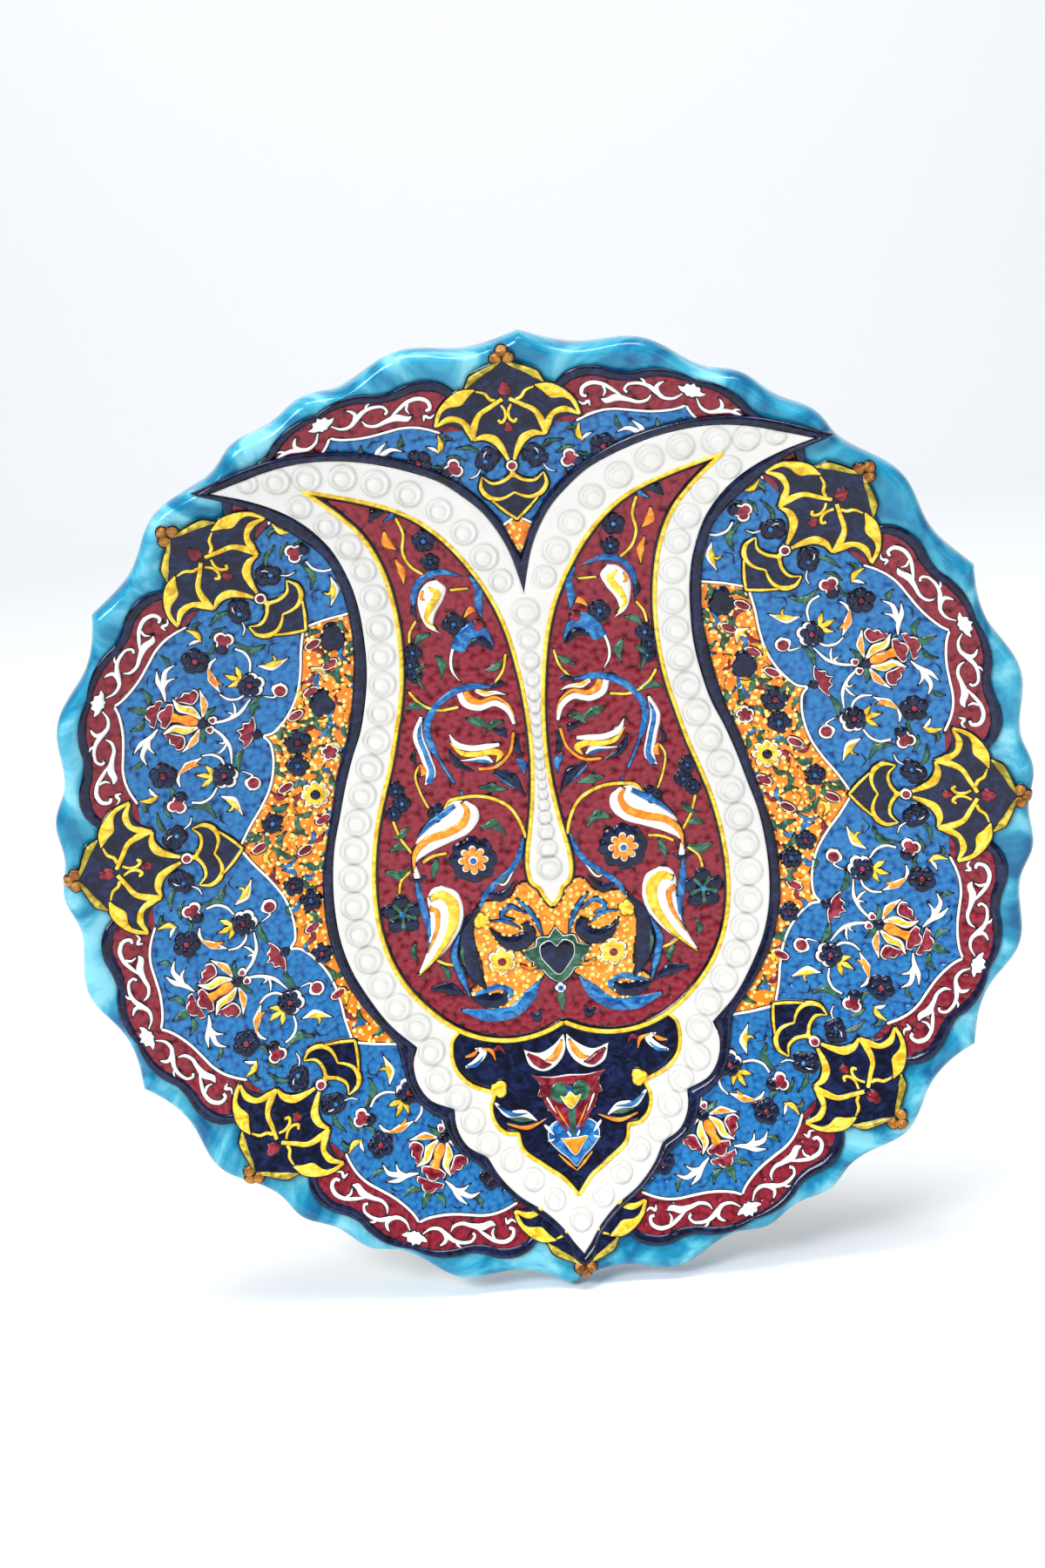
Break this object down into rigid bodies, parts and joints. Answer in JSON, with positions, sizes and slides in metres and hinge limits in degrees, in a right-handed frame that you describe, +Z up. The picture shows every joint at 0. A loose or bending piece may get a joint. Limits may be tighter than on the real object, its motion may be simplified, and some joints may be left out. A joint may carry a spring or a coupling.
{
  "type": "decorative wall plate",
  "caption": "Round scalloped earthenware plate with a turned-back rim, a foot ring for hanging, and a raised enamel tulip in a ring of medallions and palmettes.",
  "frame": {"origin": "on the wall plane, midway between the two wire holes in the foot ring, where the hanging wire meets its nail", "axes": "+Z up the plate to the top of its pattern, -Y out of the glazed face, +X to the right as it is looked at"},
  "size_m": [0.3006, 0.0432, 0.3015],
  "materials": {
    "turquoise_glaze": "glossy, mottled",
    "navy_glaze": "glossy",
    "palmette_navy_glaze": "glossy, with raised yellow lines",
    "crimson_glaze": "glossy, pebbled",
    "blue_glaze": "glossy, pebbled",
    "gold_glaze": "glossy, with yellow dots",
    "cream_glaze": "glossy, with raised beads",
    "yellow_glaze": "glossy",
    "white_glaze": "glossy"
  },
  "bodies": {
    "root": {"base_cartouche": "navy_glaze", "border_panel_1": "crimson_glaze", "border_panel_1_corner": "crimson_glaze", "border_panel_2": "crimson_glaze", "border_panel_3": "crimson_glaze", "border_panel_4": "crimson_glaze", "border_panel_5": "crimson_glaze", "border_panel_6": "crimson_glaze", "border_panel_7": "crimson_glaze", "border_panel_8": "crimson_glaze", "border_panel_8_corner": "crimson_glaze", "comma_leaf_left_1": "white_glaze", "comma_leaf_left_2": "white_glaze", "comma_leaf_left_3": "white_glaze", "comma_leaf_left_4": "white_glaze", "comma_leaf_left_5": "white_glaze", "comma_leaf_right_1": "white_glaze", "comma_leaf_right_2": "white_glaze", "comma_leaf_right_3": "white_glaze", "comma_leaf_right_4": "white_glaze", "comma_leaf_right_5": "white_glaze", "gold_ground_left": "gold_glaze", "gold_ground_right": "gold_glaze", "gold_ground_top": "gold_glaze", "gold_heart": "gold_glaze", "medallion_1": "blue_glaze", "medallion_1_corner": "blue_glaze", "medallion_2": "blue_glaze", "medallion_3": "blue_glaze", "medallion_4": "blue_glaze", "medallion_5": "blue_glaze", "medallion_6": "blue_glaze", "medallion_7": "blue_glaze", "medallion_8": "blue_glaze", "medallion_8_corner": "blue_glaze", "palmette_bottom_left": "palmette_navy_glaze", "palmette_bottom_right": "palmette_navy_glaze", "palmette_left": "palmette_navy_glaze", "palmette_lower_left": "palmette_navy_glaze", "palmette_lower_right": "palmette_navy_glaze", "palmette_right": "palmette_navy_glaze", "palmette_top": "palmette_navy_glaze", "palmette_upper_left": "palmette_navy_glaze", "palmette_upper_right": "palmette_navy_glaze", "pendant_left": "palmette_navy_glaze", "pendant_lower_left": "palmette_navy_glaze", "pendant_lower_right": "palmette_navy_glaze", "pendant_right": "palmette_navy_glaze", "pendant_top": "palmette_navy_glaze", "pendant_upper_left": "palmette_navy_glaze", "pendant_upper_right": "palmette_navy_glaze", "plate_body": "turquoise_glaze", "tulip_band": "cream_glaze", "tulip_edge": "navy_glaze", "tulip_field": "crimson_glaze", "tulip_line": "yellow_glaze"}
  },
  "joints": []
}
